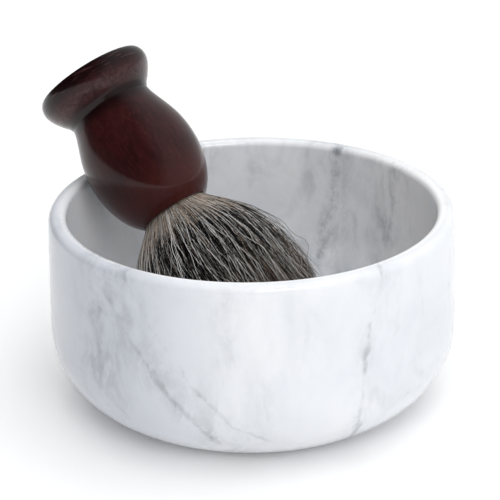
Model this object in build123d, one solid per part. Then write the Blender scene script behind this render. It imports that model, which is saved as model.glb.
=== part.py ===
"""Marble shaving bowl with its shaving brush resting in it.

The bowl is one turned and polished piece of stone that stands on a flat base. The brush leans
over the rim with its hair on the bowl's floor: a turned hardwood handle with a blind socket, and
a knot of badger hair set in a resin plug, whipped with thread and bedded in adhesive.

Row frame: millimetres, +Z up, origin at the centre of the bowl's flat base.
The brush is drawn along its own axis, from the centre of the handle's end (0) towards the hair,
and is then laid in the bowl.
"""

import os
from math import cos, radians, sin

from build123d import *

# --- bowl: driving dimensions -------------------------------------------------------------
BOWL_HEIGHT = 63.5
RIM_RADIUS = 62.7  # outside, at the top of the wall
BELLY_RADIUS = 63.5  # outside, where the wall meets the rounded foot
FOOT_WIDTH = 28.3  # the rounded foot is a quarter ellipse, this wide
FOOT_HEIGHT = 26.5
RIM_WALL = 5.4  # wall thickness at the rim
RIM_ROUND_OUT = 2.5
RIM_ROUND_IN = 1.8
FLOOR_THICKNESS = 7.5
INNER_ARC = 24.0  # radius from the inner wall round to the floor
INNER_DRAFT = 0.6  # the inside narrows by this much towards the floor arc

# --- brush handle: distances along the brush's axis, and radii ------------------------------
END_CROWN = 0.9  # how far the handle's end bulges past its edge
END_RADIUS = 17.8
FLANGE_RADIUS = 18.8
FLANGE_AT = 2.2
NECK_RADIUS = 13.7
NECK_AT = 12.3
NECK_COVE = 0.8  # fillet in the groove under the flange
BELLY_OF_HANDLE = 18.5
BELLY_AT = 32.2
LIP_RADIUS = 11.6
HANDLE_LENGTH = 51.0
SOCKET_RADIUS = 10.4
SOCKET_DEPTH = 16.0

# --- knot: plug, adhesive, whipping and hair ---------------------------------------------
ADHESIVE_FLOOR = 0.8
ADHESIVE_WALL = 0.3
PLUG_LENGTH = 8.0
THREAD_DIAMETER = 0.7
THREAD_PITCH = 0.8
THREAD_TURNS = 5
THREAD_GAP = 0.1  # free play inside and outside the whipping
ROOT_RADIUS = 9.2  # the bound hair inside the socket
MOUTH_RADIUS = 10.0  # the hair where it leaves the socket
MOUTH_RELIEF = 2.0  # depth inside the socket where it starts to open
KNOT_LOFT = 52.0  # from the handle's lip to the tip of the hair
BLOOM_RADIUS = 26.8  # widest part of the opened hair

# --- how the brush rests in the bowl ----------------------------------------------------
LEAN_ELEVATION = 46.2  # the axis rises this many degrees towards the handle's end
LEAN_AZIMUTH = 138.5  # compass direction of the handle's end, from +X towards +Y
HANDLE_END = (-50.7, 36.0, 93.8)
REST_GAP = 0.2  # air between the hair and the bowl's floor


def bowl():
    """Turned stone bowl: flat base, round foot, slightly drawn-in wall and a softened rim."""
    rim_inside = RIM_RADIUS - RIM_WALL
    floor_wall = rim_inside - INNER_DRAFT
    base_edge = (BELLY_RADIUS - FOOT_WIDTH, 0)
    belly = (BELLY_RADIUS, FOOT_HEIGHT)
    rim_corner = (RIM_RADIUS, BOWL_HEIGHT)
    inner_corner = (rim_inside, BOWL_HEIGHT)
    inner_belly = (floor_wall, FLOOR_THICKNESS + INNER_ARC)
    floor_edge = (floor_wall - INNER_ARC, FLOOR_THICKNESS)
    with BuildPart() as part:
        with BuildSketch(Plane.XZ) as section:
            with BuildLine():
                Line((0, 0), base_edge)
                EllipticalCenterArc(
                    (base_edge[0], FOOT_HEIGHT), FOOT_WIDTH, FOOT_HEIGHT, start_angle=-90, arc_size=90
                )
                TangentArc(belly, rim_corner, tangent=(0, 1))
                Line(rim_corner, inner_corner)
                Line(inner_corner, inner_belly)
                RadiusArc(inner_belly, floor_edge, INNER_ARC)
                Line(floor_edge, (0, FLOOR_THICKNESS))
                Line((0, FLOOR_THICKNESS), (0, 0))
            make_face()
            corners = section.vertices().filter_by_position(
                Axis.Y, BOWL_HEIGHT - 0.01, BOWL_HEIGHT + 0.01
            )
            fillet(corners.sort_by(Axis.X)[-1], RIM_ROUND_OUT)
            corners = section.vertices().filter_by_position(
                Axis.Y, BOWL_HEIGHT - 0.01, BOWL_HEIGHT + 0.01
            )
            fillet(corners.sort_by(Axis.X)[0], RIM_ROUND_IN)
        revolve(axis=Axis.Z)
    return part.part


def handle():
    """Turned handle: crowned end, flange, neck groove, round belly and a lip round the socket."""
    neck = (NECK_RADIUS, NECK_AT)
    lip = (LIP_RADIUS, HANDLE_LENGTH)
    flange = [(END_RADIUS, 0), (FLANGE_RADIUS, FLANGE_AT), (17.4, 6.8), (15.0, 10.0), neck]
    belly = [
        neck,
        (15.1, 17.2),
        (17.3, 23.5),
        (BELLY_OF_HANDLE, BELLY_AT),
        (17.5, 40.5),
        (14.2, 48.0),
        lip,
    ]
    with BuildPart() as part:
        with BuildSketch(Plane.XZ) as section:
            with BuildLine():
                ThreePointArc((0, -END_CROWN), (END_RADIUS / 2, -0.75 * END_CROWN), flange[0])
                Spline(*flange, tangents=[(1, 1), (-0.45, 1)])
                Spline(*belly, tangents=[(0.15, 1), (-1, 0.9)])
                Polyline(
                    lip,
                    (SOCKET_RADIUS, HANDLE_LENGTH),
                    (SOCKET_RADIUS, HANDLE_LENGTH - SOCKET_DEPTH),
                    (0, HANDLE_LENGTH - SOCKET_DEPTH),
                    (0, -END_CROWN),
                )
            make_face()
            groove = section.vertices().sort_by_distance(neck)[0]
            fillet(groove, NECK_COVE)
        revolve(axis=Axis.Z)
    return part.part


def adhesive():
    """Cup of cured adhesive between the plug and the socket."""
    floor = HANDLE_LENGTH - SOCKET_DEPTH
    height = ADHESIVE_FLOOR + PLUG_LENGTH
    bed = Pos(0, 0, floor + height / 2) * Cylinder(SOCKET_RADIUS, height)
    seat = Pos(0, 0, floor + ADHESIVE_FLOOR + PLUG_LENGTH / 2) * Cylinder(
        SOCKET_RADIUS - ADHESIVE_WALL, PLUG_LENGTH
    )
    return bed - seat


def plug_top():
    """Distance along the axis of the plug's upper face."""
    return HANDLE_LENGTH - SOCKET_DEPTH + ADHESIVE_FLOOR + PLUG_LENGTH


def plug():
    """Resin plug that the hair roots are cast into."""
    return Pos(0, 0, plug_top() - PLUG_LENGTH / 2) * Cylinder(
        SOCKET_RADIUS - ADHESIVE_WALL, PLUG_LENGTH
    )


def whipping():
    """Thread wound round the hair just above the plug."""
    coil_radius = ROOT_RADIUS + THREAD_GAP + THREAD_DIAMETER / 2
    start = plug_top() + THREAD_GAP + THREAD_DIAMETER / 2
    coil = Helix(THREAD_PITCH, THREAD_PITCH * THREAD_TURNS, coil_radius)
    section = Plane(coil @ 0, z_dir=coil % 0) * Circle(THREAD_DIAMETER / 2)
    return Pos(0, 0, start) * sweep(section, path=coil, is_frenet=True)


def hair():
    """The knot's whole bundle of hair as one soft body, not yet pressed by the bowl."""
    lip = HANDLE_LENGTH
    mouth = (MOUTH_RADIUS, lip)
    tip = (0, lip + KNOT_LOFT)
    bloom = [
        mouth,
        (13.5, lip + 1.8),
        (17.2, lip + 5.2),
        (23.0, lip + 13.6),
        (BLOOM_RADIUS - 0.6, lip + 27.0),
        (BLOOM_RADIUS, lip + 38.0),
        (21.0, lip + 47.0),
        tip,
    ]
    with BuildPart() as part:
        with BuildSketch(Plane.XZ):
            with BuildLine():
                Polyline(
                    tip,
                    (0, plug_top()),
                    (ROOT_RADIUS, plug_top()),
                    (ROOT_RADIUS, lip - MOUTH_RELIEF),
                    mouth,
                )
                Spline(*bloom, tangents=[(0.5, 1), (-1, 0)])
            make_face()
        revolve(axis=Axis.Z)
    return part.part


def brush_plane():
    """Plane whose +Z runs along the brush from the handle's end towards the hair."""
    rise, turn = radians(LEAN_ELEVATION), radians(LEAN_AZIMUTH)
    along = (-cos(rise) * cos(turn), -cos(rise) * sin(turn), -sin(rise))
    across = (-sin(turn), cos(turn), 0)
    return Plane(origin=HANDLE_END, x_dir=across, z_dir=along)


def pressed_on_floor(shape):
    """The part of a soft shape that stays above the bowl's floor."""
    room = 400
    keep = Pos(0, 0, FLOOR_THICKNESS + REST_GAP + room / 2) * Box(room, room, room)
    return shape & keep


def main():
    """Builds every piece in the row frame and writes one STEP file each."""
    lay = brush_plane().location
    pieces = {
        "bowl": bowl(),
        "brush_handle": lay * handle(),
        "knot_adhesive": lay * adhesive(),
        "knot_plug": lay * plug(),
        "knot_whipping": lay * whipping(),
        "knot_hair": pressed_on_floor(lay * hair()),
    }
    os.makedirs("parts", exist_ok=True)
    for name, shape in pieces.items():
        export_step(shape, f"parts/{name}.step")


main()
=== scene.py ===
"""Looks for the marble shaving bowl and its badger-hair brush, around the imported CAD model."""

from math import cos, pi, radians, sin

import bpy
import numpy as np
from mathutils import Matrix, Vector


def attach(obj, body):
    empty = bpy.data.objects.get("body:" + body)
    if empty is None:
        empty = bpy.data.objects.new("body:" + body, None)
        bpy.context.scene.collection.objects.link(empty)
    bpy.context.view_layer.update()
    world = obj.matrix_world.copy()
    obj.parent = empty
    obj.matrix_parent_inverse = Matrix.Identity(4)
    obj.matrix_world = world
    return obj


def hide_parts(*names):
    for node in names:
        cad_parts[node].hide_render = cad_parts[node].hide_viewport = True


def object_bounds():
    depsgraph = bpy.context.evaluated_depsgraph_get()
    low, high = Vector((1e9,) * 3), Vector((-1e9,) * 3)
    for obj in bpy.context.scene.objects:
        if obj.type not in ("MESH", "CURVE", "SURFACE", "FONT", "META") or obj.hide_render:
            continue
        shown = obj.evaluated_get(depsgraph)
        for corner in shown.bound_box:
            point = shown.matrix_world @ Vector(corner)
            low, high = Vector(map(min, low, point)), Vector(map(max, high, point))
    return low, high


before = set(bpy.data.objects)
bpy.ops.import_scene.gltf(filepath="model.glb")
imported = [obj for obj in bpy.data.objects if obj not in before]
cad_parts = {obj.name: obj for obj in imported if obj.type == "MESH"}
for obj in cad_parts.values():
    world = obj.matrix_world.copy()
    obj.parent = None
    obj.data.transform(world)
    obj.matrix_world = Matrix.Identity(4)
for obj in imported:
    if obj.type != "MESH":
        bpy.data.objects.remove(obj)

MM = 0.001
cad_low, cad_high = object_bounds()

# --- camera: a long lens looking down into the bowl -----------------------------------------
CAMERA_DISTANCE = 0.6868
CAMERA_PITCH = 23.1
CAMERA_ROLL = -0.9
CAMERA_LENS = 158.6
CAMERA_CLIP = (0.05, 30)
AIM = (-0.0007, 0, 0.0485)

# --- the brush, as the CAD model lays it in the bowl ----------------------------------------
LEAN_ELEVATION = 46.2
LEAN_AZIMUTH = 138.5
HANDLE_END = (-50.7 * MM, 36.0 * MM, 93.8 * MM)
HANDLE_LENGTH = 51.0 * MM
FLOOR_OF_BOWL = 7.5 * MM

# --- the knot of hair -------------------------------------------------------------------
SEED = 11
HAIRS = 12000
GUARD_HAIRS = 480  # coarser, wavier hairs lying over the others
STRAYS = 170
HAIR_PIECES = 8
HAIR_POINTS = 20  # points along each hair
HAIR_SIDES = 3
HAIR_RADIUS = 0.062 * MM
ROOT_DEPTH = 4.0 * MM  # how far the hairs reach into the handle's socket
ROOT_RADIUS = 9.2 * MM
MOUTH_RADIUS = 10.3 * MM
BLOOM_RADIUS = 27.2 * MM
OPENING = 12.0 * MM  # distance over which the knot opens to two thirds of its bloom
EASE = 1.15  # above 1, the hairs leave the handle straighter
GUARD_SIZE = 1.3  # how much thicker the guard hairs are
LOFT = 51.5 * MM
SAG = 1.5 * MM  # the knot droops a little under its own weight
SHOULDER = 8.5 * MM  # how much shorter the outermost hairs end
LOCKS = 1300  # hairs gather in small locks towards their tips
GATHER = 0.4
WAVES = ((1.2, 0.7), (3.0, 0.34), (6.5, 0.2))  # waves along a hair, and their share of its sway
CROWDING = 0.28  # below 0.5, hairs crowd towards the outside of the knot
LENGTH_SHARE, LENGTH_SPREAD = 0.955, 0.035  # of the loft
POINT_SPACING = 0.92  # below 1, the points lie closer together towards the tip
TWIST = radians(8)  # how far a hair turns about the knot by its tip
UNRULY = 0.3  # share of the hairs that turn twice as far
PRESSED_LOWEST = 0.35 * MM  # between the bowl's floor and the hairs that lie on it
PRESSED_LAYER = 2.2 * MM
PRESSED_SLIDE = 0.25  # how far a pressed hair slides outwards, as a share of its lift
TAPER_PLACES = (0, 0.45, 0.8, 1)
TAPER = (0.72, 1.0, 0.7, 0.14)  # share of the hair's radius at those places along it
THICKNESS = (0.55, 1.5)  # finest and coarsest hair, in hair radii
# Seats are shares of the knot's radius, sway is in mm, and flare is how far out the tips turn.
GUARD_LAY = {"seats": (0.93, 1.0), "sway": (0.8, 2.6), "flare": (-0.02, 0.05), "locked": False}
STRAY_LAY = {"seats": (0.97, 1.0), "sway": (1.2, 3.4), "flare": (0.02, 0.2), "locked": False}
STRAY_SIZE = 0.8  # strays are finer
NARROWING = 2 * MM  # the knot narrows over this distance inside the handle's mouth
PULL, PULL_EASE = (0.5, 1.0), 1.2  # how much of GATHER a hair feels, and how late it starts
PACE = (0.7, 1.3)  # spread of the waves' lengths
SWAY_EASE = 0.7


def brush_axes():
    """The brush's origin, its direction towards the hair, and two directions across it."""
    rise, turn = radians(LEAN_ELEVATION), radians(LEAN_AZIMUTH)
    along = Vector((-cos(rise) * cos(turn), -cos(rise) * sin(turn), -sin(rise)))
    across = Vector((-sin(turn), cos(turn), 0))
    return Vector(HANDLE_END), along, across, along.cross(across)


# --- shader helpers -----------------------------------------------------------------------
def new_material(name):
    """An empty node material and its tree."""
    material = bpy.data.materials.new(name)
    material.use_nodes = True
    material.node_tree.nodes.clear()
    return material, material.node_tree


def add(tree, kind, inputs=None, **settings):
    """Adds a shader node; a socket given as an input is linked, anything else is its value."""
    node = tree.nodes.new(kind)
    for name, value in settings.items():
        setattr(node, name, value)
    for name, value in (inputs or {}).items():
        if isinstance(value, bpy.types.NodeSocket):
            tree.links.new(value, node.inputs[name])
        else:
            node.inputs[name].default_value = value
    return node


def scalar(tree, operation, first, second=0.0, clamp=False):
    """One scalar operation."""
    node = add(tree, "ShaderNodeMath", {0: first, 1: second}, operation=operation, use_clamp=clamp)
    return node.outputs[0]


def vector(tree, operation, first, second):
    """One vector operation; the dot product's result is a number."""
    node = add(tree, "ShaderNodeVectorMath", {0: first, 1: second}, operation=operation)
    return node.outputs["Value" if operation == "DOT_PRODUCT" else "Vector"]


def scaled(tree, value, by):
    """A vector times a number."""
    node = add(tree, "ShaderNodeVectorMath", {0: value, "Scale": by}, operation="SCALE")
    return node.outputs["Vector"]


def noise(tree, coordinates, scale, detail=4.0, roughness=0.55, distortion=0.0):
    """A noise texture; scale is in features per metre."""
    return add(
        tree,
        "ShaderNodeTexNoise",
        {
            "Vector": coordinates,
            "Scale": scale,
            "Detail": detail,
            "Roughness": roughness,
            "Distortion": distortion,
        },
    )


def ramp(tree, value, start, end, low=0.0, high=1.0):
    """Smooth step of a value from low to high as it goes from start to end."""
    node = add(
        tree,
        "ShaderNodeMapRange",
        {"Value": value, "From Min": start, "From Max": end, "To Min": low, "To Max": high},
        interpolation_type="SMOOTHSTEP",
    )
    return node.outputs["Result"]


def blended(tree, share, first, second):
    """Colour mixed from first to second by share."""
    node = add(
        tree,
        "ShaderNodeMix",
        {"Factor": share, 6: first, 7: second},
        data_type="RGBA",
    )
    return node.outputs[2]


def shaded(tree, inputs):
    """Principled shader to the output."""
    principled = add(tree, "ShaderNodeBsdfPrincipled", inputs)
    output = add(tree, "ShaderNodeOutputMaterial")
    tree.links.new(principled.outputs["BSDF"], output.inputs["Surface"])


def bumped(tree, height, strength, distance):
    """A bump normal; distance is in metres."""
    node = add(
        tree, "ShaderNodeBump", {"Height": height, "Strength": strength, "Distance": distance}
    )
    return node.outputs["Normal"]


# --- marble -----------------------------------------------------------------------------
WHITE = (0.825, 0.835, 0.855, 1)
# Painted light: the upper inner wall is painted in the next, paler white.
INSIDE_PAINTED_LIGHT_WHITE = (0.925, 0.93, 0.945, 1)
PALE_GREY = (0.66, 0.685, 0.735, 1)
SHADE_BLUE_GREY = (0.57, 0.605, 0.675, 1)
CLOUD_GREY = (0.47, 0.5, 0.545, 1)
VEIN_GREY = (0.21, 0.23, 0.255, 1)
WARPS = ((14, 12), (70, 5), (420, 1.3))  # noise that bends the veins: per metre, and mm of reach
INNER_RADIUS = (58.5 * MM, 61 * MM)  # painted light: the stone is painted paler within the first, not past the second
INNER_HEIGHT = (20 * MM, 27 * MM)  # and only above the inner corner
SHADED_SIDE = (-0.9, -0.44, 0)  # painted shade: the bowl is painted greyer on this side
SHADED_SIDE_EDGE = (20 * MM, 62 * MM)
SHADED_SIDE_SHARE = (0.7, 0.3)  # share of the painted shade outside the bowl and inside
# Shares of the broad grey outside the bowl and inside; the smaller share inside is part of the
# painted light there.
BROAD_SHARE = (0.45, 0.15)
CLOUD_SHARE = 0.3
WISP_SHARE = 0.35
SIDE_EDGE = (-5 * MM, 25 * MM)  # over which a vein fades on its way to the bowl's other side
# Each vein is a sheet through the stone: the direction it faces (degrees round and up), its
# distance from the bowl's axis, its thickness, how dark and how smoky it is, the side of the
# bowl that it holds to (degrees round, or None for all of it), and a shift of the noise that
# breaks it, which chooses the stretches that show.
VEINS = (
    (4, -7, 25.5, 0.9, 0.6, 0.4, -75, 1.0),
    (4, -7, 25.5, 2.0, 1.0, 0.5, 75, 3.0),
    (-29, 37, 21.0, 1.3, 0.8, 0.55, -120, 11.0),
    (-48, -4, 0.5, 2.8, 0.75, 0.75, None, 3.0),
    (-5, 3, 0.0, 2.0, 0.3, 0.75, -96, 6.0),
    (64, 20, 34.0, 1.8, 0.3, 0.85, 88, 9.0),
    (-60, 30, 52.5, 0.8, 0.45, 0.35, -95, 4.0),
    (150, -14, 30.0, 1.0, 0.45, 0.7, 90, 12.0),
    (60, -15, 22.0, 1.3, 0.95, 0.45, 128, 16.0),
    (165, -20, 45.0, 1.1, 0.75, 0.5, 115, 21.0),
)


def vein(tree, places, warped, sheet):
    """Share of vein colour: a thin broken line in smoke, where a sheet meets the skin."""
    facing, tilt, offset, thickness, darkness, smokiness, side, shift = sheet
    turn, rise = radians(facing), radians(tilt)
    normal = (cos(turn) * cos(rise), sin(turn) * cos(rise), sin(rise))
    height = scalar(tree, "SUBTRACT", vector(tree, "DOT_PRODUCT", warped, normal), offset * MM)
    distance = scalar(tree, "ABSOLUTE", height)
    shifted = vector(tree, "ADD", places, (shift, 0, 0))
    gaps = noise(tree, shifted, 45, 6, 0.7).outputs["Fac"]
    width = ramp(tree, gaps, 0.4, 0.66, 0.25 * thickness * MM, 1.3 * thickness * MM)
    line = ramp(tree, scalar(tree, "DIVIDE", distance, width), 0, 1.5, 1 - smokiness, 0)
    smoke = noise(tree, vector(tree, "MULTIPLY", warped, (1, 1, 0.3)), 170, 6, 0.7, 0.8)
    halo = ramp(tree, distance, 0, 7 * thickness * MM, 0.25 + 0.4 * smokiness, 0)
    kept = ramp(tree, gaps, 0.42, 0.64, 0.05, 1.0)
    soft = scalar(
        tree,
        "MULTIPLY",
        ramp(tree, gaps, 0.34, 0.62),
        ramp(tree, smoke.outputs["Fac"], 0.38, 0.66, 0.15, 1.0),
    )
    both = scalar(
        tree, "ADD", scalar(tree, "MULTIPLY", line, kept), scalar(tree, "MULTIPLY", halo, soft)
    )
    share = scalar(tree, "MULTIPLY", both, darkness, clamp=True)
    if side is None:
        return share
    holds_to = (cos(radians(side)), sin(radians(side)), 0)
    towards = vector(tree, "DOT_PRODUCT", places, holds_to)
    return scalar(tree, "MULTIPLY", share, ramp(tree, towards, *SIDE_EDGE))


def painted_light_inside(tree, places):
    """Mask of the painted light: 1 on the upper inner wall and 0 outside."""
    level = vector(tree, "MULTIPLY", places, (1, 1, 0))
    radius = add(tree, "ShaderNodeVectorMath", {0: level}, operation="LENGTH").outputs["Value"]
    height = vector(tree, "DOT_PRODUCT", places, (0, 0, 1))
    inner = ramp(tree, radius, *INNER_RADIUS, 1, 0)
    return scalar(tree, "MULTIPLY", inner, ramp(tree, height, *INNER_HEIGHT))


def marble():
    """Polished white marble: soft blue-grey clouds and broken grey veins right through it."""
    material, tree = new_material("polished_marble")
    places = add(tree, "ShaderNodeTexCoord").outputs["Object"]
    middle = (0.5, 0.5, 0.5)
    warped = places
    for scale, reach in WARPS:
        drift = vector(tree, "SUBTRACT", noise(tree, places, scale, 3).outputs["Color"], middle)
        warped = vector(tree, "ADD", warped, scaled(tree, drift, reach * MM))
    upright = vector(tree, "MULTIPLY", warped, (1, 1, 0.6))
    broad = ramp(tree, noise(tree, upright, 15, 3, 0.5).outputs["Fac"], 0.42, 0.66)
    clouds = ramp(tree, noise(tree, upright, 26, 5, 0.58, 0.4).outputs["Fac"], 0.46, 0.74)
    smoke = ramp(tree, noise(tree, upright, 75, 5, 0.62, 0.8).outputs["Fac"], 0.5, 0.74)
    # Painted shade: the bowl's left side is painted blue-grey.
    left = ramp(tree, vector(tree, "DOT_PRODUCT", warped, SHADED_SIDE), *SHADED_SIDE_EDGE)
    # Painted light on the upper inner wall: a paler white, less broad grey and less painted shade.
    inner = painted_light_inside(tree, places)
    broad = scalar(tree, "MULTIPLY", broad, ramp(tree, inner, 0, 1, *BROAD_SHARE))
    left = scalar(tree, "MULTIPLY", left, ramp(tree, inner, 0, 1, *SHADED_SIDE_SHARE))
    colour = blended(tree, inner, WHITE, INSIDE_PAINTED_LIGHT_WHITE)
    colour = blended(tree, broad, colour, PALE_GREY)
    colour = blended(tree, left, colour, SHADE_BLUE_GREY)
    colour = blended(tree, scalar(tree, "MULTIPLY", clouds, CLOUD_SHARE), colour, CLOUD_GREY)
    wisps = scalar(tree, "MULTIPLY", smoke, scalar(tree, "MULTIPLY", clouds, WISP_SHARE))
    colour = blended(tree, wisps, colour, VEIN_GREY)
    for sheet in VEINS:
        colour = blended(tree, vein(tree, places, warped, sheet), colour, VEIN_GREY)
    polish = ramp(tree, noise(tree, places, 60, 4).outputs["Fac"], 0.35, 0.7, 0.1, 0.17)
    grain = noise(tree, places, 2600, 2).outputs["Fac"]
    shaded(
        tree,
        {
            "Base Color": colour,
            "Roughness": polish,
            "IOR": 1.5,
            "Subsurface Weight": 0.3,
            "Subsurface Radius": (1.0, 0.9, 0.8),
            "Subsurface Scale": 4 * MM,
            "Normal": bumped(tree, grain, 0.05, 0.02 * MM),
        },
    )
    return material


# --- lacquered wood ------------------------------------------------------------------------
# The first colour is painted shade, for the handle's end and its neck groove.
SHADE_BLACK_BROWN = (0.003, 0.001, 0.0015, 1)
DARK_BROWN = (0.016, 0.0035, 0.0042, 1)
RED_BROWN = (0.048, 0.0085, 0.009, 1)
RUST = (0.12, 0.036, 0.026, 1)
ROSE = (0.085, 0.036, 0.036, 1)
WARM_RED = (0.085, 0.015, 0.012, 1)
# Places along the handle, in mm from its end, between which a zone starts and then stops.
# Painted shade: the handle's end is painted near-black.
END_SHADE_FADES = (3, 6)
STREAKS_START = (0.3, 1.5)
# Painted reflection: a paler rose band on the flange's slope.
SLOPE_REFLECTION = ((5, 7), (8, 11))
# Painted shade in the neck groove between the flange and the belly.
NECK_SHADE = ((9, 11.5), (13, 17))
MOUTH_STARTS = (35, 47)


def brush_coordinates(tree):
    """Coordinates turned so that Z runs along the brush in metres from its end, and that Z."""
    origin, along, across, third = brush_axes()
    places = add(tree, "ShaderNodeTexCoord").outputs["Object"]
    moved = vector(tree, "SUBTRACT", places, tuple(origin))
    parts = [vector(tree, "DOT_PRODUCT", moved, tuple(a)) for a in (across, third, along)]
    turned = add(tree, "ShaderNodeCombineXYZ", dict(zip("XYZ", parts)))
    return turned.outputs["Vector"], parts[2]


def rising(tree, along, places, high=1.0):
    """0 before two places along the handle, in mm, and high after them."""
    return ramp(tree, along, places[0] * MM, places[1] * MM, 0, high)


def falling(tree, along, places):
    """1 before two places along the handle, in mm, and 0 after them."""
    return ramp(tree, along, places[0] * MM, places[1] * MM, 1, 0)


def band(tree, along, zone):
    """1 in a zone of the handle and 0 outside it."""
    starts, stops = zone
    return scalar(tree, "MULTIPLY", rising(tree, along, starts), falling(tree, along, stops))


def lacquered_wood():
    """Dark red-brown hardwood with its grain along the handle, under a glossy lacquer."""
    material, tree = new_material("lacquered_hardwood")
    places, along = brush_coordinates(tree)
    figure = noise(tree, vector(tree, "MULTIPLY", places, (1, 1, 0.5)), 240, 6, 0.68, 0.3)
    fibres = noise(tree, vector(tree, "MULTIPLY", places, (1, 1, 0.09)), 1500, 3, 0.7)
    pores = noise(tree, vector(tree, "MULTIPLY", places, (1, 1, 0.05)), 2600, 2)
    rings = noise(tree, vector(tree, "MULTIPLY", places, (0.1, 0.1, 1)), 1250, 5, 0.75)
    specks = noise(tree, places, 550, 6, 0.75)
    colour = blended(tree, ramp(tree, figure.outputs["Fac"], 0.15, 0.85), DARK_BROWN, RED_BROWN)
    colour = blended(tree, ramp(tree, fibres.outputs["Fac"], 0.5, 0.75, 0, 0.25), colour, RUST)
    # Painted shade: the end of the handle is darkened towards near-black.
    end = falling(tree, along, END_SHADE_FADES)
    colour = blended(tree, scalar(tree, "MULTIPLY", end, 0.8), colour, SHADE_BLACK_BROWN)
    side = scalar(tree, "MULTIPLY", rising(tree, along, STREAKS_START), end)
    streaks = scalar(tree, "MULTIPLY", ramp(tree, rings.outputs["Fac"], 0.54, 0.62, 0, 0.6), side)
    colour = blended(tree, streaks, colour, ROSE)
    # Painted reflection: speckled rose on the flange's slope, between its dark end and its neck
    # groove.
    speckled = ramp(tree, specks.outputs["Fac"], 0.4, 0.66, 0.05, 0.8)
    painted_reflection = scalar(tree, "MULTIPLY", speckled, band(tree, along, SLOPE_REFLECTION))
    colour = blended(tree, painted_reflection, colour, ROSE)
    # Painted shade: the neck groove is darkened towards near-black.
    neck_shade = scalar(tree, "MULTIPLY", band(tree, along, NECK_SHADE), 0.75)
    colour = blended(tree, neck_shade, colour, SHADE_BLACK_BROWN)
    colour = blended(tree, rising(tree, along, MOUTH_STARTS, 0.6), colour, WARM_RED)
    open_pores = ramp(tree, pores.outputs["Fac"], 0.62, 0.7, 0, 0.5)
    colour = blended(tree, open_pores, colour, DARK_BROWN)
    relief = scalar(tree, "ADD", fibres.outputs["Fac"], scalar(tree, "MULTIPLY", streaks, 0.7))
    shaded(
        tree,
        {
            "Base Color": colour,
            "Roughness": ramp(tree, fibres.outputs["Fac"], 0.3, 0.7, 0.34, 0.46),
            "IOR": 1.5,
            "Specular IOR Level": 0.1,
            "Coat Weight": 0.7,
            "Coat Roughness": 0.06,
            "Coat IOR": 1.36,
            "Normal": bumped(tree, relief, 0.1, 0.04 * MM),
        },
    )
    return material


# --- hidden pieces --------------------------------------------------------------------------
def plain(name, low, high, roughness, scale):
    """A mottled material between two colours."""
    material, tree = new_material(name)
    places = add(tree, "ShaderNodeTexCoord").outputs["Object"]
    mottle = noise(tree, places, scale, 5).outputs["Fac"]
    shaded(
        tree,
        {
            "Base Color": blended(tree, ramp(tree, mottle, 0.35, 0.65), low, high),
            "Roughness": roughness,
            "Normal": bumped(tree, mottle, 0.2, 0.05 * MM),
        },
    )
    return material


# --- hair ---------------------------------------------------------------------------------
HAIR_COLOURS = {
    "cream": (0.64, 0.53, 0.44),
    "sand": (0.45, 0.35, 0.28),
    "ash": (0.46, 0.44, 0.405),
    "silver": (0.78, 0.765, 0.735),
    "white": (0.92, 0.91, 0.885),
    "grey": (0.26, 0.245, 0.225),
    "tan": (0.31, 0.235, 0.185),
    "brown": (0.11, 0.078, 0.06),
    "dark_brown": (0.025, 0.018, 0.015),
    "black": (0.006, 0.0055, 0.006),
}
HAIR_NAMES = list(HAIR_COLOURS)
# Colours of each kind of hair in its root, band and tip.
HAIR_KINDS = (
    ("cream", "black", "brown"),
    ("sand", "dark_brown", "tan"),
    ("grey", "black", "black"),
    ("ash", "grey", "tan"),
    ("cream", "silver", "silver"),
    ("silver", "white", "white"),
    ("cream", "tan", "sand"),
    ("brown", "black", "dark_brown"),
)
# How common each kind is among most hairs, on the knot's paler left, and among guard hairs.
KIND_SHARES = (0.33, 0.17, 0.21, 0.02, 0.06, 0.03, 0.03, 0.15)
PALE_KINDS = (0.14, 0.08, 0.14, 0.24, 0.18, 0.08, 0.1, 0.04)
GUARD_KINDS = (0.12, 0.04, 0.16, 0.06, 0.3, 0.24, 0.04, 0.04)
PALE_SLOPE, PALE_START = 1.7, 0.35  # how sharply the left turns paler, and from where
BAND_START, BAND_START_SPREAD = 6.5 * MM, 0.45
BAND_END, BAND_END_SPREAD = 33.0 * MM, 0.2


def hair_material(name, colour):
    """One shade of badger hair: a smooth, slightly glossy fibre."""
    material, tree = new_material(f"badger_hair_{name}")
    shaded(
        tree,
        {
            "Base Color": (*colour, 1),
            "Roughness": 0.45,
            "IOR": 1.5,
            "Specular IOR Level": 0.25,
        },
    )
    return material


def knot_radius(distance):
    """Radius of the opened knot at a distance beyond the handle's mouth."""
    outside = np.maximum(distance, 0)
    bloom = 1 - np.exp(-((outside / OPENING) ** EASE))
    opened = MOUTH_RADIUS + (BLOOM_RADIUS - MOUTH_RADIUS) * bloom
    inside = np.clip(-distance / NARROWING, 0, 1)
    return opened * (1 - inside) + ROOT_RADIUS * inside


def seated(random, count):
    """Where hairs sit in the knot: share of its radius, crowded towards the outside, and angle."""
    share = random.random(count) ** CROWDING
    return share, random.random(count) * 2 * pi


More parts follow.
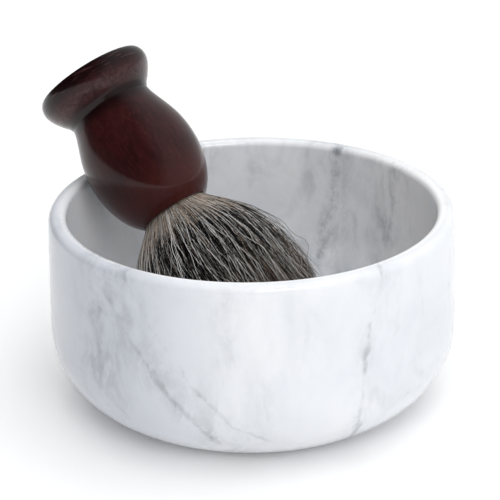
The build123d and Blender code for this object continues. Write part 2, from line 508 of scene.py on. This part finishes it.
def hair_paths(random, count, seats=(0, 1), sway=(0.4, 1.7), flare=(0, 0), locked=True):
    """Centre lines of the hairs (hair, point, xyz), each point's distance from the handle's
    mouth, and each hair's angle round the knot.
    """
    share, angle = seated(random, count)
    share = seats[0] + (seats[1] - seats[0]) * share
    length = (LOFT - SHOULDER * share**2) * random.normal(LENGTH_SHARE, LENGTH_SPREAD, count)
    steps = np.linspace(0, 1, HAIR_POINTS) ** POINT_SPACING
    distance = -ROOT_DEPTH + steps[None, :] * (length[:, None] + ROOT_DEPTH)
    progress = np.clip(distance / LOFT, 0, 1)
    flat = np.stack([share * np.cos(angle), share * np.sin(angle)], -1)
    seat = np.repeat(flat[:, None, :], HAIR_POINTS, axis=1)
    if locked:
        locks_share, locks_angle = seated(random, LOCKS)
        locks = locks_share[:, None] * np.stack([np.cos(locks_angle), np.sin(locks_angle)], -1)
        nearest = ((flat[:, None, :] - locks[None]) ** 2).sum(-1).argmin(1)
        pull = GATHER * random.uniform(*PULL, count)[:, None] * progress**PULL_EASE
        seat = seat * (1 - pull[..., None]) + locks[nearest][:, None, :] * pull[..., None]
    unruly = 1 + (random.random(count) < UNRULY)
    twist = (random.normal(0, TWIST, count) * unruly)[:, None] * progress
    turned = np.stack(
        [
            seat[..., 0] * np.cos(twist) - seat[..., 1] * np.sin(twist),
            seat[..., 0] * np.sin(twist) + seat[..., 1] * np.cos(twist),
        ],
        -1,
    )
    offset = turned * knot_radius(distance)[..., None]
    reach = random.uniform(*sway, count) * MM
    for axis in (0, 1):
        for waves, height in WAVES:
            phase = random.random(count)[:, None] * 2 * pi
            pace = waves * random.uniform(*PACE, count)[:, None]
            wave = np.sin(progress * 2 * pi * pace + phase)
            offset[..., axis] += height * reach[:, None] * wave * progress**SWAY_EASE
    offset *= 1 + (random.uniform(*flare, count)[:, None] * progress)[..., None]
    origin, along, across, third = (np.array(v) for v in brush_axes())
    centre = origin + along * (HANDLE_LENGTH + distance)[..., None]
    centre[..., 2] -= SAG * (1 - np.exp(-np.maximum(distance, 0) / OPENING))
    paths = centre + across * offset[..., :1] + third * offset[..., 1:]
    return pressed(random, paths), distance, angle


def pressed(random, paths):
    """Hairs that would go through the bowl's floor lie down on it."""
    layer = random.random(len(paths))[:, None] ** 2 * PRESSED_LAYER
    floor = FLOOR_OF_BOWL + PRESSED_LOWEST + layer
    depth = np.maximum(floor - paths[..., 2], 0)
    paths[..., 2] += depth
    along = np.array(brush_axes()[1])
    paths[..., :2] += (along[:2] * PRESSED_SLIDE) * depth[..., None]
    return paths


def hair_radii(random, count):
    """Radius at each point of each hair: thickest in the middle and fine at the tip."""
    steps = np.linspace(0, 1, HAIR_POINTS)
    taper = np.interp(steps, TAPER_PLACES, TAPER)
    return HAIR_RADIUS * random.uniform(*THICKNESS, count)[:, None] * taper


def hair_shades(random, distance, angle, guard):
    """Material index of every segment, by the hair's kind and its place along the hair."""
    across, third = brush_axes()[2:]
    facing = np.cos(angle)[:, None] * np.array(across) + np.sin(angle)[:, None] * np.array(third)
    left = np.clip(-facing[:, 0] * PALE_SLOPE - PALE_START, 0, 1)
    kinds = random.choice(len(HAIR_KINDS), len(angle), p=KIND_SHARES)
    pale = random.choice(len(HAIR_KINDS), len(angle), p=PALE_KINDS)
    kinds = np.where(random.random(len(angle)) < left, pale, kinds)
    kinds = np.where(guard, random.choice(len(HAIR_KINDS), len(angle), p=GUARD_KINDS), kinds)
    table = np.array([[HAIR_NAMES.index(c) for c in kind] for kind in HAIR_KINDS])
    middle = (distance[:, 1:] + distance[:, :-1]) / 2
    start = BAND_START * random.normal(1, BAND_START_SPREAD, len(angle))[:, None]
    end = BAND_END * random.normal(1, BAND_END_SPREAD, len(angle))[:, None]
    zone = (middle > start).astype(int) + (middle > end)
    return table[kinds[:, None], zone]


def tubes(paths, radii):
    """Vertices and faces of one closed, tapered tube per path."""
    count, points = paths.shape[:2]
    run = np.gradient(paths, axis=1)
    run /= np.linalg.norm(run, axis=-1, keepdims=True)
    side = np.cross(run, (0.31, 0.27, 0.91))
    side /= np.linalg.norm(side, axis=-1, keepdims=True)
    other = np.cross(run, side)
    turns = np.arange(HAIR_SIDES) * 2 * pi / HAIR_SIDES
    ring = np.cos(turns)[:, None] * side[..., None, :]
    ring += np.sin(turns)[:, None] * other[..., None, :]
    vertices = paths[..., None, :] + ring * radii[..., None, None]
    index = np.arange(count * points * HAIR_SIDES).reshape(count, points, HAIR_SIDES)
    after = np.roll(index, -1, axis=2)
    walls = np.stack([index[:, :-1], after[:, :-1], after[:, 1:], index[:, 1:]], -1)
    caps = np.concatenate([index[:, 0, ::-1], index[:, -1]])
    return vertices.reshape(-1, 3), walls.reshape(-1, 4), caps


def hair_piece(name, paths, radii, shades, materials):
    """One mesh object holding a share of the hairs."""
    vertices, walls, caps = tubes(paths, radii)
    mesh = bpy.data.meshes.new(name)
    mesh.from_pydata(vertices.tolist(), [], walls.tolist() + caps.tolist())
    for material in materials:
        mesh.materials.append(material)
    slots = np.concatenate(
        [np.repeat(shades.reshape(-1), HAIR_SIDES), shades[:, 0], shades[:, -1]]
    )
    mesh.polygons.foreach_set("material_index", slots.astype(np.int32))
    mesh.polygons.foreach_set("use_smooth", np.ones(len(slots), dtype=bool))
    mesh.update()
    piece = bpy.data.objects.new(name, mesh)
    bpy.context.scene.collection.objects.link(piece)
    return piece


def grow_hair():
    """All the knot's hairs, in a few pieces that ride on the brush."""
    random = np.random.default_rng(SEED)
    body = hair_paths(random, HAIRS)
    guard = hair_paths(random, GUARD_HAIRS, **GUARD_LAY)
    loose = hair_paths(random, STRAYS, **STRAY_LAY)
    paths, distance, angle = (np.concatenate(group) for group in zip(body, guard, loose))
    coarse = np.repeat((1.0, GUARD_SIZE, STRAY_SIZE), (HAIRS, GUARD_HAIRS, STRAYS))
    radii = hair_radii(random, len(paths)) * coarse[:, None]
    shades = hair_shades(random, distance, angle, coarse > 1)
    materials = [hair_material(name, colour) for name, colour in HAIR_COLOURS.items()]
    order = random.permutation(len(paths))
    for number, chosen in enumerate(np.array_split(order, HAIR_PIECES), 1):
        piece = hair_piece(
            f"badger_hair_{number}", paths[chosen], radii[chosen], shades[chosen], materials
        )
        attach(piece, "brush")
        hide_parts("knot_hair")


# --- surroundings ---------------------------------------------------------------------------
FLOOR_COLOUR = (0.93, 0.93, 0.93, 1)
FLOOR_HALF = 6.0
FLOOR_GAP = 0.05 * MM  # the floor lies this far under the bowl
LIT_POINT = (0, 0, 0.04)  # where the softboxes aim
SUN_STRENGTH = 1.8
SUN_ANGLE = radians(60)  # how wide the sun is, for soft shadows
SUN_TILT = radians(60)  # how far the sun stands from overhead, on the side of the bowl's front
ROOM_WHITE = (0.97, 0.985, 1.0, 1)
ROOM_DARK = (0.03, 0.03, 0.035, 1)
ROOM_SEEN = (1.35, 1.35, 1.36, 1)  # the room as the camera sees it
ROOM_DARK_SIDE = (-0.9, -0.42, 0.1)
ROOM_EDGE = (-0.4, 0.3)
ROOM_STRENGTH = 0.7
# Each softbox: its name, place, size in metres, power in watts, and the one object it is for.
SOFTBOXES = (
    ("top_light", (0.0, 0.0, 1.5), (2.0, 2.0), 20, None),
    ("front_light", (0.1, -1.3, 0.55), (2.0, 1.0), 4.5, None),
    ("bowl_light", (0.35, -0.78, 0.85), (0.6, 0.35), 4.7, "bowl"),
)


def studio_floor():
    """A plain pale floor under the bowl."""
    material, tree = new_material("studio_floor")
    shaded(tree, {"Base Color": FLOOR_COLOUR, "Roughness": 0.9, "IOR": 1.3})
    mesh = bpy.data.meshes.new("studio_floor")
    level = cad_low.z - FLOOR_GAP
    signs = ((-1, -1), (1, -1), (1, 1), (-1, 1))
    corners = [(x * FLOOR_HALF, y * FLOOR_HALF, level) for x, y in signs]
    mesh.from_pydata(corners, [], [(0, 1, 2, 3)])
    mesh.materials.append(material)
    floor = bpy.data.objects.new("studio_floor", mesh)
    bpy.context.scene.collection.objects.link(floor)


def light_only(lamp, thing):
    """Links a lamp to one object, so that it lights nothing else."""
    receivers = bpy.data.collections.new(f"{lamp.name}_receivers")
    receivers.objects.link(thing)
    lamp.light_linking.receiver_collection = receivers


def softbox(name, place, size, power, only):
    """A softbox aimed at the bowl. If it is only for one object, it also glints in it."""
    lamp = bpy.data.lights.new(name, "AREA")
    lamp.shape = "RECTANGLE"
    lamp.size, lamp.size_y = size
    lamp.energy = power
    box = bpy.data.objects.new(name, lamp)
    box.location = place
    box.rotation_mode = "QUATERNION"
    box.rotation_quaternion = (Vector(LIT_POINT) - Vector(place)).to_track_quat("-Z", "Y")
    box.visible_glossy = only is not None
    bpy.context.scene.collection.objects.link(box)
    if only:
        light_only(box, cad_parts[only])


def floor_light():
    """Broad even light for the floor alone, so that it stays white far behind the bowl."""
    lamp = bpy.data.lights.new("floor_light", "SUN")
    lamp.energy = SUN_STRENGTH
    lamp.angle = SUN_ANGLE
    sun = bpy.data.objects.new("floor_light", lamp)
    sun.rotation_euler = (SUN_TILT, 0, 0)
    sun.visible_glossy = False
    bpy.context.scene.collection.objects.link(sun)
    light_only(sun, bpy.data.objects["studio_floor"])


def white_room():
    """A white room that is dim on the bowl's left and front, but looks white all round."""
    world = bpy.data.worlds.new("white_room")
    world.use_nodes = True
    tree = world.node_tree
    background = tree.nodes["Background"]
    direction = add(tree, "ShaderNodeTexCoord").outputs["Generated"]
    dark_side = vector(tree, "DOT_PRODUCT", direction, ROOM_DARK_SIDE)
    colour = blended(tree, ramp(tree, dark_side, *ROOM_EDGE), ROOM_WHITE, ROOM_DARK)
    seen = add(tree, "ShaderNodeLightPath").outputs["Is Camera Ray"]
    colour = blended(tree, seen, colour, ROOM_SEEN)
    tree.links.new(colour, background.inputs["Color"])
    background.inputs["Strength"].default_value = ROOM_STRENGTH
    bpy.context.scene.world = world


def studio():
    """The room, its softboxes and the floor's own light."""
    white_room()
    for box in SOFTBOXES:
        softbox(*box)
    floor_light()


def camera():
    """The camera, tilted down and rolled a little."""
    data = bpy.data.cameras.new("camera")
    data.lens = CAMERA_LENS
    data.clip_start, data.clip_end = CAMERA_CLIP
    eye = bpy.data.objects.new("camera", data)
    pitch = radians(CAMERA_PITCH)
    back = Vector((0, -cos(pitch), sin(pitch)))
    turn = Matrix.Rotation(pi / 2 - pitch, 4, "X") @ Matrix.Rotation(radians(CAMERA_ROLL), 4, "Z")
    eye.matrix_world = Matrix.Translation(Vector(AIM) + back * CAMERA_DISTANCE) @ turn
    bpy.context.scene.collection.objects.link(eye)
    bpy.context.scene.camera = eye
    bpy.context.scene.view_settings.view_transform = "Standard"


def coat(node, material):
    """Gives a CAD node its material."""
    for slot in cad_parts[node].material_slots:
        slot.material = material


camera()
studio_floor()
studio()
coat("bowl", marble())
coat("brush_handle", lacquered_wood())
coat("knot_plug", plain("cast_resin", (0.5, 0.36, 0.19, 1), (0.6, 0.47, 0.28, 1), 0.25, 300))
coat("knot_adhesive", plain("cured_adhesive", (0.6, 0.5, 0.3, 1), (0.7, 0.6, 0.42, 1), 0.3, 400))
coat("knot_whipping", plain("waxed_thread", (0.6, 0.54, 0.42, 1), (0.8, 0.74, 0.62, 1), 0.7, 2500))
grow_hair()
